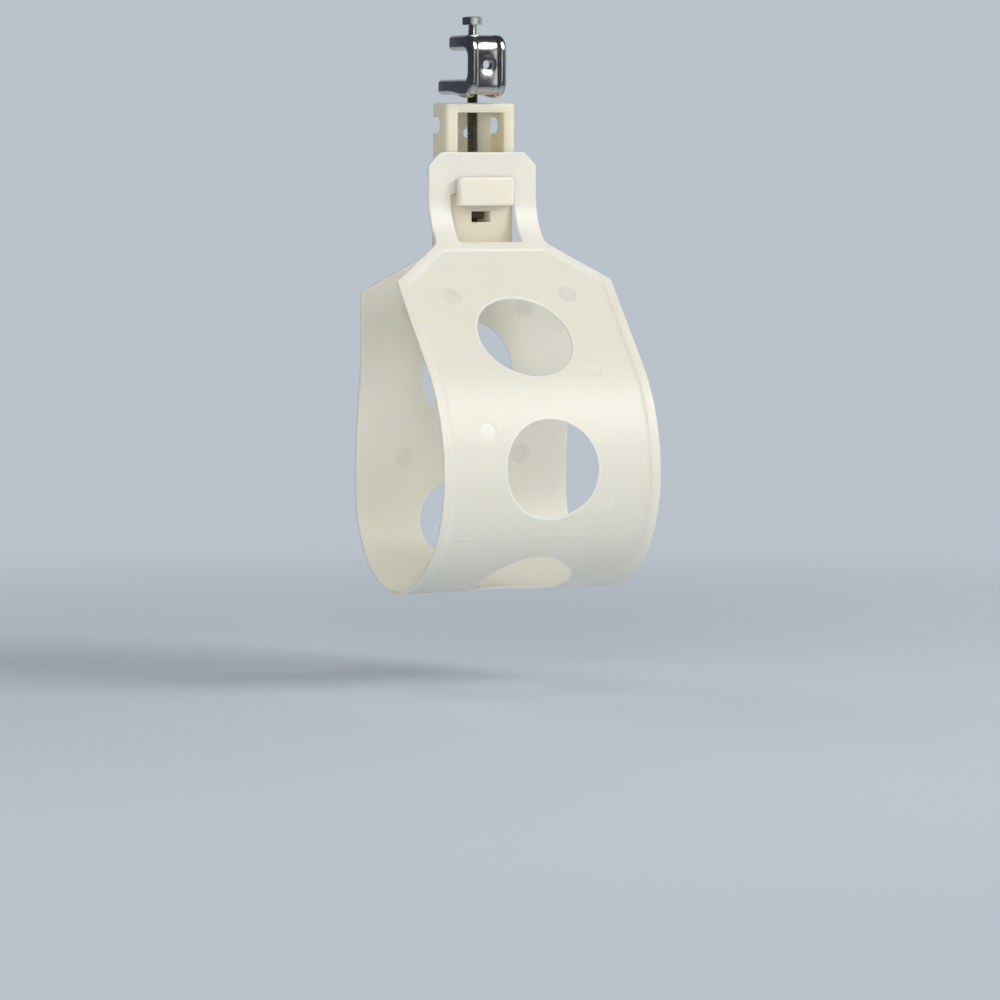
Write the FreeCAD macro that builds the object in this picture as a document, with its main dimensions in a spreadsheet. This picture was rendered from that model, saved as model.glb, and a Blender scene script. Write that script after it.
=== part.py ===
# Loop cable hanger: a wide moulded strap loop with its hollow head, on a threaded rod under a beam clamp.
# Millimetres. X runs along the cables, -Y is the front with the catch, +Z is up.
# The origin is the seat of the clamp's lower jaw, on the line of the screw and the rod.
import FreeCAD, Part
import math
import os
import Sketcher

os.makedirs("parts", exist_ok=True)
doc = FreeCAD.newDocument("loop_cable_hanger")

# Driving dimensions
SIZES = {
    # beam clamp
    "clamp_width": 17.6,
    "jaw_gap": 12.3,
    "lower_jaw_thick": 8.2,
    "lower_tip_thick": 6.8,
    "upper_jaw_thick": 6.8,
    "web_front": 17.6,
    "web_thick": 4.9,
    "upper_jaw_reach": 6.6,
    "lower_jaw_reach": 18.2,
    "clamp_outer_bend": 7.0,
    "clamp_throat_bend": 3.4,
    "clamp_tip_round": 2.2,
    "clamp_edge_round": 1.8,
    "channel_depth": 1.4,
    "channel_foot_bend": 4.2,
    "ridge_width": 3.4,
    "web_hole_diameter": 4.8,
    "web_hole_rise": 6.2,
    # set screw
    "screw_diameter": 4.2,
    "screw_fit": 0.05,
    "screw_tip_rise": 6.6,
    "screw_head_rise": 4.5,
    "screw_head_flats": 8.0,
    "screw_head_tall": 3.6,
    "screw_crown_diameter": 7.7,
    "screw_crown_slope": 1.7,
    "screw_tip_chamfer": 0.6,
    # threaded rod and nut
    "rod_diameter": 4.8,
    "rod_recess": 0.6,
    "rod_gap": 2.2,
    "rod_tail": 3.2,
    "rod_chamfer": 0.5,
    "nut_flats": 8.7,
    "nut_tall": 3.2,
    "nut_fit": 0.05,
    "nut_side_gap": 0.25,
    # head
    "head_width": 33.0,
    "head_front": 9.0,
    "head_back": 6.4,
    "head_tall": 63.0,
    "head_upper_tall": 26.0,
    "head_corner_round": 1.6,
    "head_lower_round": 4.2,
    "head_edge_round": 1.5,
    "head_roof_thick": 4.2,
    "head_side_thick": 5.3,
    "head_back_thick": 1.5,
    "cavity_drop": 30.0,
    "cavity_round": 0.8,
    "rod_hole_diameter": 5.7,
    "rod_hole_bottom": 55.5,
    "notch_tall": 6.9,
    "notch_deep": 8.4,
    "notch_drop": 9.65,
    "notch_round": 3.0,
    "back_hole_diameter": 4.4,
    "back_hole_drop": 13.1,
    "nut_slot_drop": 47.2,
    "nut_slot_tall": 4.7,
    "nut_slot_wall": 1.1,
    "core_tall": 5.0,
    "core_wall": 3.6,
    # catch
    "catch_width": 26.0,
    "catch_tall": 12.5,
    "catch_thick": 4.6,
    "catch_drop": 32.2,
    "catch_stem_tall": 5.1,
    "catch_corner_round": 1.7,
    "catch_edge_round": 1.1,
    "strap_slip": 0.2,
    "catch_slip": 0.6,
    # strap
    "strap_width": 102.0,
    "strap_thick": 1.6,
    "neck_width": 51.6,
    "neck_top_drop": 21.4,
    "neck_chamfer": 5.7,
    "neck_fillet": 6.0,
    "neck_corner_round": 2.0,
    "front_shoulder_drop": 61.0,
    "front_corner_drop": 77.0,
    "rear_shoulder_drop": 64.5,
    "rear_corner_drop": 82.0,
    "rear_top_drop": 40.0,
    "window_width": 30.2,
    "window_top_drop": 39.3,
    "window_bottom_drop": 60.8,
    "window_round": 1.2,
    "front_slope": 41.3,
    "neck_bend": 26.7,
    "belly_bend": 69.0,
    "bottom_share": 0.552,
    "rear_side_bend": 230.0,
    "rear_neck_bend": 60.0,
    "belly_reach": 82.0,
    "rear_bulge": 6.2,
    "loop_drop": 210.5,
    # round holes along the strap
    "hole_diameter": 43.0,
    "front_hole_pitch": 63.5,
    "rear_hole_pitch": 69.2,
    "first_hole_drop": 100.6,
}
FRONT_HOLES = 3
REAR_HOLES = 2
# How far a cut or a joint runs past the face it goes through
PAST = 1.0

sheet = doc.addObject("Spreadsheet::Sheet", "Sizes")
for row, (name, value) in enumerate(SIZES.items(), start=1):
    sheet.set("A%d" % row, name)
    sheet.set("B%d" % row, str(value))
    sheet.setAlias("B%d" % row, name)
doc.recompute()


class Size:
    """A driving dimension or a sum of several: its value, and its text for an expression."""

    def __init__(self, value, text):
        self.value = value
        self.text = text

    def __add__(self, other):
        other = as_size(other)
        return Size(self.value + other.value, "(%s + %s)" % (self.text, other.text))

    def __sub__(self, other):
        other = as_size(other)
        return Size(self.value - other.value, "(%s - %s)" % (self.text, other.text))

    def __mul__(self, other):
        other = as_size(other)
        return Size(self.value * other.value, "(%s * %s)" % (self.text, other.text))

    def __truediv__(self, other):
        other = as_size(other)
        return Size(self.value / other.value, "(%s / %s)" % (self.text, other.text))

    def __neg__(self):
        return Size(-self.value, "(0 - %s)" % self.text)


def as_size(thing):
    """A plain number as a size, or a size as it is."""
    return thing if isinstance(thing, Size) else Size(float(thing), str(thing))


class Sizes:
    """The driving dimensions by name, read back from the sheet."""

    def __getattr__(self, name):
        return Size(float(getattr(sheet, name)), "Sizes." + name)


d = Sizes()


def bind(thing, prop, amount):
    """Tie a property of an object to a size."""
    thing.setExpression(prop, as_size(amount).text)


# Sketch helpers
def plane(body, role):
    """One of a body's own origin planes."""
    for datum in body.Origin.OriginFeatures:
        if datum.Role == role:
            return datum


def new_sketch(body, name, role, offset=None):
    """A sketch on one of the body's origin planes, moved along its normal."""
    sketch = body.newObject("Sketcher::SketchObject", name)
    sketch.AttachmentSupport = [(plane(body, role), "")]
    sketch.MapMode = "FlatFace"
    if offset is not None:
        bind(sketch, "AttachmentOffset.Base.z", offset)
    doc.recompute()
    return sketch


def measure(sketch, constraint, amount, unit=""):
    """Add a dimension to a sketch and tie it to a size."""
    index = sketch.addConstraint(constraint)
    label = "d%d" % index
    sketch.renameConstraint(index, label)
    sketch.setExpression("Constraints." + label, as_size(amount).text + unit)


def pin(sketch, geo, point, across=None, up=None):
    """Give a point's sketch coordinates as sizes."""
    for kind, amount in (("DistanceX", across), ("DistanceY", up)):
        if amount is not None:
            amount = as_size(amount)
            measure(sketch, Sketcher.Constraint(kind, -1, 1, geo, point, amount.value), amount)


def outline(sketch, corners, rounds=()):
    """A closed outline of straight lines through corners (across, up).

    rounds lists (corner number, radius) for the corners that are rounded.
    """
    count = len(corners)
    first = sketch.GeometryCount
    corners = [(as_size(across), as_size(up)) for across, up in corners]
    spots = [FreeCAD.Vector(across.value, up.value, 0) for across, up in corners]
    for index in range(count):
        sketch.addGeometry(Part.LineSegment(spots[index], spots[(index + 1) % count]))
    for index in range(count):
        after = first + (index + 1) % count
        sketch.addConstraint(Sketcher.Constraint("Coincident", first + index, 2, after, 1))
    for index, (across, up) in enumerate(corners):
        pin(sketch, first + index, 1, across, up)
    for index, radius in rounds:
        sketch.fillet(first + index, 1, radius.value, True, True)
        arc = max(geo for geo in range(sketch.GeometryCount)
                  if sketch.Geometry[geo].TypeId == "Part::GeomArcOfCircle")
        measure(sketch, Sketcher.Constraint("Radius", arc, radius.value), radius)


def box(sketch, left, right, bottom, top, rounds=()):
    """A rectangle; its corners count from the left bottom one, anticlockwise."""
    outline(sketch, [(left, bottom), (right, bottom), (right, top), (left, top)], rounds)


def four(radius):
    """One radius for all four corners of a box."""
    return [(corner, radius) for corner in range(4)]


def feature(body, kind, name, sketch, length=None, **settings):
    """A pad, pocket or the like from a sketch."""
    made = body.newObject("PartDesign::" + kind, name)
    made.Profile = sketch
    if length is not None:
        bind(made, "Length", length)
    for prop, setting in settings.items():
        setattr(made, prop, setting)
    doc.recompute()
    return made


def drill(body, name, base, turn, radius, depth):
    """A round hole from a base point, its axis turned about X in degrees from +Z."""
    made = body.newObject("PartDesign::SubtractiveCylinder", name)
    made.AttachmentSupport = [(plane(body, "XY_Plane"), "")]
    made.MapMode = "FlatFace"
    made.AttachmentOffset = FreeCAD.Placement(
        FreeCAD.Vector(*[as_size(part).value for part in base]),
        FreeCAD.Rotation(FreeCAD.Vector(1, 0, 0), turn))
    bind(made, "Radius", radius)
    bind(made, "Height", depth)
    doc.recompute()
    return made


def mirror(body, name, original):
    """The same cut on the other side of the YZ plane."""
    made = body.newObject("PartDesign::Mirrored", name)
    made.Originals = [original]
    made.MirrorPlane = (plane(body, "YZ_Plane"), [""])
    body.Tip = made
    doc.recompute()
    return made


def edge_names(shape, test):
    """Names of the edges that pass a test on their bounding box."""
    return ["Edge%d" % (index + 1) for index, edge in enumerate(shape.Edges) if test(edge.BoundBox)]


def dress(body, kind, name, base, edges, prop, amount):
    """A fillet or chamfer on named edges of an earlier feature."""
    made = body.newObject("PartDesign::" + kind, name)
    made.Base = (base, edges)
    bind(made, prop, amount)
    doc.recompute()
    return made


def near(value, target):
    """Whether two lengths are the same for picking edges."""
    return abs(value - target) < 1e-4


# Beam clamp body: one C-shaped casting, open to the back, with a ridge along each side of its front
clamp = doc.addObject("PartDesign::Body", "clamp")
clamp.Label = "beam_clamp_body"
web_back = d.web_thick - d.web_front
clamp_top = d.jaw_gap + d.upper_jaw_thick
clamp_half = d.clamp_width / 2


def clamp_profile(name, front, heel, foot_bend, offset=None):
    """The clamp's C-shaped side view, with its front face and the underside of its heel at given places
    and a bend of a given radius between them."""
    profile = new_sketch(clamp, name, "YZ_Plane", offset)
    outline(profile, [
        (web_back, 0),
        (web_back, d.jaw_gap),
        (d.upper_jaw_reach, d.jaw_gap),
        (d.upper_jaw_reach, clamp_top),
        (front, clamp_top),
        (front, heel),
        (web_back + d.clamp_throat_bend, heel),
        (d.upper_jaw_reach, -d.lower_tip_thick),
        (d.lower_jaw_reach, -d.lower_tip_thick),
        (d.lower_jaw_reach, 0),
    ], [
        (0, d.clamp_throat_bend),
        (1, d.clamp_throat_bend),
        (2, d.clamp_tip_round),
        (3, d.clamp_tip_round),
        (4, d.clamp_outer_bend),
        (5, foot_bend),
        (8, d.clamp_tip_round),
        (9, d.clamp_tip_round),
    ])
    return profile


core_profile = clamp_profile("clamp_core_profile", d.channel_depth - d.web_front, -d.lower_tip_thick,
                             d.channel_foot_bend)
feature(clamp, "Pad", "clamp_core", core_profile, d.clamp_width - d.ridge_width, Midplane=True)
ridge_profile = clamp_profile("clamp_ridge_profile", -d.web_front, -d.lower_jaw_thick,
                              d.clamp_outer_bend, clamp_half - d.ridge_width)
ridge = feature(clamp, "Pad", "ridge", ridge_profile, d.ridge_width)
ridge_pair = mirror(clamp, "ridge_pair", ridge)


def on_clamp_side(extent):
    """Whether an edge lies in one of the clamp's two side faces."""
    return extent.XLength < 1e-4 and near(abs(extent.XMax), clamp_half.value)


clamp_rim = edge_names(ridge_pair.Shape, on_clamp_side)
dress(clamp, "Fillet", "casting_round", ridge_pair, clamp_rim, "Radius", d.clamp_edge_round)
drill(clamp, "web_hole", (0, -d.web_front - PAST, d.web_hole_rise), -90,
      d.web_hole_diameter / 2, d.web_thick + 2 * PAST)
drill(clamp, "screw_hole", (0, 0, d.jaw_gap - PAST), 0,
      d.screw_diameter / 2 + d.screw_fit, d.upper_jaw_thick + 2 * PAST)
drill(clamp, "rod_socket", (0, 0, -d.lower_jaw_thick - PAST), 0,
      d.rod_diameter / 2, d.lower_jaw_thick + 2 * PAST)

# Set screw: hex head, plain shank where the thread runs, standing on the beam's flange
screw_seat = clamp_top + d.screw_head_rise
shank_long = screw_seat - d.screw_tip_rise
shank = doc.addObject("Part::Cylinder", "screw_shank")
bind(shank, "Radius", d.screw_diameter / 2)
bind(shank, "Height", shank_long + PAST)
screw_tip = doc.addObject("Part::Chamfer", "screw_tip")
screw_tip.Base = shank
doc.recompute()
low_rim = [index + 1 for index, edge in enumerate(shank.Shape.Edges)
           if near(edge.BoundBox.ZMax, 0) and edge.Closed]
screw_tip.Edges = [(index, d.screw_tip_chamfer.value, d.screw_tip_chamfer.value) for index in low_rim]
screw_hex = doc.addObject("Part::Prism", "screw_hex")
screw_hex.Polygon = 6
HEX_REACH = 1 / math.cos(math.pi / 6)
bind(screw_hex, "Circumradius", d.screw_head_flats / 2 * HEX_REACH)
bind(screw_hex, "Height", d.screw_head_tall)
bind(screw_hex, "Placement.Base.z", shank_long)
screw_crown = doc.addObject("Part::Cone", "screw_crown")
bind(screw_crown, "Radius2", d.screw_crown_diameter / 2)
bind(screw_crown, "Radius1", d.screw_crown_diameter / 2 + d.screw_head_tall * d.screw_crown_slope)
bind(screw_crown, "Height", d.screw_head_tall)
bind(screw_crown, "Placement.Base.z", shank_long)
screw_head = doc.addObject("Part::Common", "screw_head")
screw_head.Base = screw_hex
screw_head.Tool = screw_crown
screw = doc.addObject("Part::Fuse", "screw")
screw.Base = screw_tip
screw.Tool = screw_head
screw.Label = "clamp_set_screw"
bind(screw, "Placement.Base.z", d.screw_tip_rise)

# Threaded rod: from the clamp's lower jaw down through the head to just below the nut
head_top = -d.lower_jaw_thick - d.rod_gap
nut_top = head_top - d.nut_slot_drop
rod_bottom = nut_top - d.nut_tall - d.rod_tail
rod_bar = doc.addObject("Part::Cylinder", "rod_bar")
bind(rod_bar, "Radius", d.rod_diameter / 2)
bind(rod_bar, "Height", -d.rod_recess - rod_bottom)
doc.recompute()
rod = doc.addObject("Part::Chamfer", "rod")
rod.Base = rod_bar
rod_rims = [index + 1 for index, edge in enumerate(rod_bar.Shape.Edges) if edge.Closed]
rod.Edges = [(index, d.rod_chamfer.value, d.rod_chamfer.value) for index in rod_rims]
rod.Label = "hanger_rod"
bind(rod, "Placement.Base.z", rod_bottom)

# Hex nut: lies in the slot of the head and runs on the rod's thread
nut_hex = doc.addObject("Part::Prism", "nut_hex")
nut_hex.Polygon = 6
bind(nut_hex, "Circumradius", d.nut_flats / 2 * HEX_REACH)
bind(nut_hex, "Height", d.nut_tall)
nut_hex.Placement.Rotation = FreeCAD.Rotation(FreeCAD.Vector(0, 0, 1), 30)
nut_bore = doc.addObject("Part::Cylinder", "nut_bore")
bind(nut_bore, "Radius", d.rod_diameter / 2 + d.nut_fit)
bind(nut_bore, "Height", d.nut_tall + 2 * PAST)
nut_bore.Placement.Base.z = -PAST
nut = doc.addObject("Part::Cut", "nut")
nut.Base = nut_hex
nut.Tool = nut_bore
nut.Label = "captive_hex_nut"
bind(nut, "Placement.Base.z", nut_top - d.nut_tall)
doc.recompute()

# Loop: strap, head and catch are one moulding. Its own zero is the head's top on the rod's line.
loop = doc.addObject("PartDesign::Body", "loop")
loop.Label = "moulded_strap_loop"
bind(loop, "Placement.Base.z", head_top)
neck_line = -d.head_front - d.strap_slip - d.strap_thick / 2
rear_line = d.head_back - d.strap_thick / 2
rear_reach = rear_line + d.rear_bulge
loop_depth = d.belly_reach + rear_reach
front_bend = loop_depth * d.bottom_share
rear_bend = loop_depth - front_bend

# The strap's middle line: straight runs and bends that meet without a kink
slope = math.radians(d.front_slope.value)
fall, rise = math.sin(slope), 1 - math.cos(slope)
bottom = -d.loop_drop.value
reach = -d.belly_reach.value
belly_mid = (reach + d.belly_bend.value, bottom + front_bend.value)
front_mid = (reach + front_bend.value, bottom + front_bend.value)
rear_mid = (front_mid[0], bottom + rear_bend.value)
side_mid = (rear_reach.value - d.rear_side_bend.value, rear_mid[1])
run_low = (belly_mid[0] - d.belly_bend.value * math.cos(slope), belly_mid[1] + d.belly_bend.value * fall)
run_high_y = neck_line.value - d.neck_bend.value * rise
run_long = (run_high_y - run_low[0]) / fall
run_high = (run_high_y, run_low[1] + run_long * math.cos(slope))
neck_mid = (neck_line.value - d.neck_bend.value, run_high[1] + d.neck_bend.value * fall)
rear_sway = (d.rear_side_bend + d.rear_neck_bend).value
lean = math.acos(1 - d.rear_bulge.value / rear_sway)
rear_neck_mid = (rear_line.value + d.rear_neck_bend.value, side_mid[1] + rear_sway * math.sin(lean))


def flat(point):
    """A sketch point from its two coordinates."""
    return FreeCAD.Vector(point[0], point[1], 0)


def bend(middle, radius, start, stop):
    """An arc given by its middle, its radius and its two angles, anticlockwise."""
    circle = Part.Circle(flat(middle), FreeCAD.Vector(0, 0, 1), radius.value)
    return Part.ArcOfCircle(circle, start, stop)


HALF_TURN = math.pi
path = new_sketch(loop, "strap_path", "YZ_Plane")
neck_top = (neck_line.value, -d.neck_top_drop.value)
NECK, NECK_BEND, RUN, BELLY, FRONT, REAR, SIDE, REAR_NECK, REAR_RUN = range(9)
runs = [
    Part.LineSegment(flat(neck_top), flat((neck_line.value, neck_mid[1]))),
    bend(neck_mid, d.neck_bend, -slope, 0),
    Part.LineSegment(flat(run_low), flat(run_high)),
    bend(belly_mid, d.belly_bend, HALF_TURN - slope, HALF_TURN),
    bend(front_mid, front_bend, HALF_TURN, 1.5 * HALF_TURN),
    bend(rear_mid, rear_bend, 1.5 * HALF_TURN, 2 * HALF_TURN),
    bend(side_mid, d.rear_side_bend, 0, lean),
    bend(rear_neck_mid, d.rear_neck_bend, HALF_TURN, HALF_TURN + lean),
    Part.LineSegment(flat((rear_line.value, rear_neck_mid[1])),
                     flat((rear_line.value, -d.rear_top_drop.value))),
]
path.addGeometry(runs)
for one, one_end, two, two_end in (
        (NECK, 2, NECK_BEND, 2), (NECK_BEND, 1, RUN, 2), (RUN, 1, BELLY, 1), (BELLY, 2, FRONT, 1),
        (FRONT, 2, REAR, 1), (REAR, 2, SIDE, 1), (SIDE, 2, REAR_NECK, 2), (REAR_NECK, 1, REAR_RUN, 1)):
    path.addConstraint(Sketcher.Constraint("Tangent", one, one_end, two, two_end))
path.addConstraint(Sketcher.Constraint("Vertical", NECK))
path.addConstraint(Sketcher.Constraint("Vertical", REAR_RUN))
path.addConstraint(Sketcher.Constraint("Horizontal", BELLY, 3, BELLY, 2))
path.addConstraint(Sketcher.Constraint("Vertical", FRONT, 3, FRONT, 2))
path.addConstraint(Sketcher.Constraint("Horizontal", REAR, 3, REAR, 2))
for geo, radius in ((NECK_BEND, d.neck_bend), (BELLY, d.belly_bend), (FRONT, front_bend),
                    (REAR, rear_bend), (SIDE, d.rear_side_bend), (REAR_NECK, d.rear_neck_bend)):
    measure(path, Sketcher.Constraint("Radius", geo, radius.value), radius)
measure(path, Sketcher.Constraint("Angle", RUN, HALF_TURN / 2 - slope),
        as_size(90) - d.front_slope, " * 1 deg")
pin(path, NECK, 1, neck_line, -d.neck_top_drop)
pin(path, REAR_RUN, 2, rear_line, -d.rear_top_drop)
pin(path, BELLY, 2, across=-d.belly_reach)
pin(path, FRONT, 2, up=-d.loop_drop)
doc.recompute()

section = new_sketch(loop, "strap_section", "XY_Plane", -d.neck_top_drop)
box(section, -d.strap_width / 2, d.strap_width / 2,
    neck_line - d.strap_thick / 2, neck_line + d.strap_thick / 2)
strap = feature(loop, "AdditivePipe", "strap", section)
strap.Spine = (path, ["Edge%d" % (index + 1) for index in range(len(runs))])
doc.recompute()

# Neck and shoulders: the strap narrows to the catch in front and to the head behind
strap_half = d.strap_width / 2
neck_half = d.neck_width / 2
front_cut = new_sketch(loop, "front_shoulder_outline", "XZ_Plane")
outline(front_cut, [
    (neck_half - d.neck_chamfer, -d.neck_top_drop),
    (neck_half, -d.neck_top_drop - d.neck_chamfer),
    (neck_half, -d.front_shoulder_drop),
    (strap_half, -d.front_corner_drop),
    (strap_half + d.neck_chamfer, -d.front_corner_drop),
    (strap_half + d.neck_chamfer, d.neck_chamfer - d.neck_top_drop),
    (neck_half - d.neck_chamfer, d.neck_chamfer - d.neck_top_drop),
], [(1, d.neck_corner_round), (2, d.neck_fillet)])
front_shoulder = feature(loop, "Pocket", "front_shoulder", front_cut, d.belly_reach / 2, Reversed=True)
mirror(loop, "front_shoulder_pair", front_shoulder)
rear_cut = new_sketch(loop, "rear_shoulder_outline", "XZ_Plane")
head_half = d.head_width / 2
outline(rear_cut, [
    (head_half, -d.rear_shoulder_drop),
    (strap_half, -d.rear_corner_drop),
    (strap_half + d.neck_chamfer, -d.rear_corner_drop),
    (strap_half + d.neck_chamfer, d.neck_chamfer - d.rear_top_drop),
    (head_half, d.neck_chamfer - d.rear_top_drop),
])
rear_shoulder = feature(loop, "Pocket", "rear_shoulder", rear_cut, d.head_back * 2)
mirror(loop, "rear_shoulder_pair", rear_shoulder)

# Window: lets the catch through the neck
window_cut = new_sketch(loop, "window_outline", "XZ_Plane")
box(window_cut, -d.window_width / 2, d.window_width / 2, -d.window_bottom_drop, -d.window_top_drop,
    four(d.window_round))
window = feature(loop, "Pocket", "window", window_cut, d.belly_reach / 2, Reversed=True)

# Round holes along the strap from the first one's height on the front run, a little wider apart behind
STRETCHES = [
    ("run", run_high, run_low),
    ("bend", belly_mid, d.belly_bend.value, HALF_TURN - slope, HALF_TURN),
    ("bend", front_mid, front_bend.value, HALF_TURN, 1.5 * HALF_TURN),
    ("bend", rear_mid, rear_bend.value, 1.5 * HALF_TURN, 2 * HALF_TURN),
    ("bend", side_mid, d.rear_side_bend.value, 0, lean),
    ("back bend", rear_neck_mid, d.rear_neck_bend.value, HALF_TURN + lean, HALF_TURN),
    ("run", (rear_line.value, rear_neck_mid[1]), (rear_line.value, -d.rear_top_drop.value)),
]


def along(distance):
    """The point at a distance down the strap from the neck bend, and the angle of its outward normal."""
    for stretch in STRETCHES:
        if stretch[0] == "run":
            (y0, z0), (y1, z1) = stretch[1:]
            long = math.hypot(y1 - y0, z1 - z0)
            if distance <= long:
                part = distance / long
                spot = (y0 + (y1 - y0) * part, z0 + (z1 - z0) * part)
                return spot, math.atan2(z1 - z0, y1 - y0) - HALF_TURN / 2
        else:
            middle, radius, start, stop = stretch[1:]
            long = radius * abs(stop - start)
            if distance <= long:
                angle = start + (stop - start) * distance / long
                spot = (middle[0] + radius * math.cos(angle), middle[1] + radius * math.sin(angle))
                return spot, angle if stretch[0] == "bend" else angle - HALF_TURN
        distance -= long
    raise ValueError("the holes run past the end of the strap")


first_hole = (-d.first_hole_drop.value - run_high[1]) / -math.cos(slope)
hole_depth = d.hole_diameter / 2
hole_steps = [d.front_hole_pitch.value] * (FRONT_HOLES - 1) + [d.rear_hole_pitch.value] * REAR_HOLES
for number in range(FRONT_HOLES + REAR_HOLES):
    spot, angle = along(first_hole + sum(hole_steps[:number]))
    half = hole_depth.value / 2
    base = (0, spot[0] - half * math.cos(angle), spot[1] - half * math.sin(angle))
    drill(loop, "strap_hole_%d" % (number + 1), base, math.degrees(angle) - 90,
          d.hole_diameter / 2, hole_depth)

# Head: a rounded block with the nut slot below, an open-fronted box above
lower_plan = new_sketch(loop, "head_lower_plan", "XY_Plane", -d.head_upper_tall)
box(lower_plan, -head_half, head_half, -d.head_front, d.head_back,
    [(0, d.head_lower_round), (1, d.head_lower_round)])
feature(loop, "Pad", "head_lower", lower_plan, d.head_tall - d.head_upper_tall, Reversed=True)
upper_plan = new_sketch(loop, "head_upper_plan", "XY_Plane")
box(upper_plan, -head_half, head_half, -d.head_front, d.head_back, four(d.head_corner_round))
feature(loop, "Pad", "head_upper", upper_plan, d.head_upper_tall, Reversed=True)

# Catch: a stem through the window and a plate that stands up in front of the neck's bar
def forward_of_neck(drop):
    """How far the strap's middle line has come forward of the neck's line at a drop below the head's top."""
    below = drop.value + neck_mid[1]
    radius = d.neck_bend.value
    if below <= 0:
        return 0.0
    if below <= radius * fall:
        return radius - math.sqrt(radius ** 2 - below ** 2)
    return radius * rise + (below - radius * fall) * math.tan(slope)


bar_forward = forward_of_neck(d.window_top_drop)
catch_back = d.head_front + d.strap_slip + d.strap_thick + d.catch_slip + bar_forward
catch_low = d.catch_drop + d.catch_tall
catch_half = d.catch_width / 2
stem_plan = new_sketch(loop, "catch_stem_outline", "XZ_Plane", d.head_front - PAST)
box(stem_plan, -catch_half, catch_half, -catch_low, d.catch_stem_tall - catch_low)
feature(loop, "Pad", "catch_stem", stem_plan, catch_back - d.head_front + 2 * PAST)
plate_plan = new_sketch(loop, "catch_plate_outline", "XZ_Plane", catch_back)
box(plate_plan, -catch_half, catch_half, -catch_low, -d.catch_drop, four(d.catch_corner_round))
catch_plate = feature(loop, "Pad", "catch_plate", plate_plan, d.catch_thick)
catch_face = -(catch_back + d.catch_thick).value
catch_rim = edge_names(catch_plate.Shape,
                       lambda extent: near(extent.YMin, catch_face) and near(extent.YMax, catch_face))
catch_round = dress(loop, "Fillet", "catch_round", catch_plate, catch_rim, "Radius", d.catch_edge_round)
top_rim = edge_names(catch_round.Shape, lambda extent: near(extent.ZMin, 0) and near(extent.ZMax, 0))
head_round = dress(loop, "Fillet", "head_round", catch_round, top_rim, "Radius", d.head_edge_round)

# Head openings: cavity, rod hole, side notches, back hole, nut slot and the core below
cavity_half = head_half - d.head_side_thick
cavity_cut = new_sketch(loop, "cavity_outline", "XZ_Plane", d.head_front + PAST)
box(cavity_cut, -cavity_half, cavity_half, -d.cavity_drop, -d.head_roof_thick, four(d.cavity_round))
feature(loop, "Pocket", "cavity", cavity_cut, d.head_front + d.head_back - d.head_back_thick + PAST)
drill(loop, "rod_hole", (0, 0, -d.rod_hole_bottom), 0, d.rod_hole_diameter / 2, d.rod_hole_bottom + PAST)
notch_cut = new_sketch(loop, "notch_outline", "YZ_Plane", head_half + PAST)
notch_front = d.head_back - d.notch_deep
box(notch_cut, notch_front, d.head_back + 2 * PAST, -d.notch_drop - d.notch_tall / 2,
    d.notch_tall / 2 - d.notch_drop, [(0, d.notch_round), (3, d.notch_round)])
notch = feature(loop, "Pocket", "notch", notch_cut, d.head_side_thick + PAST)
mirror(loop, "notch_pair", notch)
drill(loop, "back_hole", (0, d.head_back + PAST, -d.back_hole_drop), 90, d.back_hole_diameter / 2,
      d.head_back_thick + 2 * PAST)
slot_half = d.nut_flats / 2 + d.nut_side_gap
slot_cut = new_sketch(loop, "nut_slot_outline", "XZ_Plane", d.head_front + PAST)
box(slot_cut, -slot_half, slot_half, -d.nut_slot_drop - d.nut_slot_tall, -d.nut_slot_drop)
feature(loop, "Pocket", "nut_slot", slot_cut, d.head_front + d.head_back - d.nut_slot_wall + PAST)
core_cut = new_sketch(loop, "core_outline", "XY_Plane", -d.head_tall - PAST)
core_half = head_half - d.core_wall
box(core_cut, -core_half, core_half, d.core_wall - d.head_front, d.head_back - d.core_wall)
feature(loop, "Pocket", "core", core_cut, d.core_tall + PAST, Reversed=True)

# Check and write the five parts
doc.recompute()
for thing in doc.Objects:
    faults = [word for word in thing.State if word in ("Invalid", "Error")]
    if faults:
        raise RuntimeError("%s: %s" % (thing.Name, faults))
for part in (clamp, screw, rod, nut, loop):
    shape = part.Shape
    if shape.isNull() or not shape.isValid() or len(shape.Solids) != 1:
        raise RuntimeError("%s is not one sound solid" % part.Label)
    shape.exportStep("parts/%s.step" % part.Label)
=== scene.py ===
import math

import bmesh
import bpy
import numpy as np
from mathutils import Matrix, Vector


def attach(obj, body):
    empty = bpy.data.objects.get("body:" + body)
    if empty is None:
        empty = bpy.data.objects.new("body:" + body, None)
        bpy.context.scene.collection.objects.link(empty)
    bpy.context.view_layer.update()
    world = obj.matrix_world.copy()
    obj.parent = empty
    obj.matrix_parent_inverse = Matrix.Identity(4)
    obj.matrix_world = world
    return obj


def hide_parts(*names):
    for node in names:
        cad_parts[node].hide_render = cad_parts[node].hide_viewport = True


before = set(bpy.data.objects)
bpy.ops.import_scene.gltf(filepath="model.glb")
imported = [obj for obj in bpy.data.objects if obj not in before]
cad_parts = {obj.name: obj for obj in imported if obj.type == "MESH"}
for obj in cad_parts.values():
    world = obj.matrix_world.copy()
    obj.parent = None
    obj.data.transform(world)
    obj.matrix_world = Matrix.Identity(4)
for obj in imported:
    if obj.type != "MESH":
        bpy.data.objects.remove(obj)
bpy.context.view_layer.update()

# Clamp: a C-shaped steel casting whose two jaws carry the hanger, plated bright with zinc.
# Cast with a ridge down each side of its front and a channel between them, then drilled and tapped
# through the web, through the upper jaw for its set screw and through the lower jaw for the rod.
MM = 0.001
CLAMP_HALF = 8.8
CLAMP_EDGE = 1.8
CHANNEL_DEPTH = 1.4
CHANNEL_HALF = 4.5
CHANNEL_WALL = 1.4
CHANNEL_FLOOR = -16.2
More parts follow.
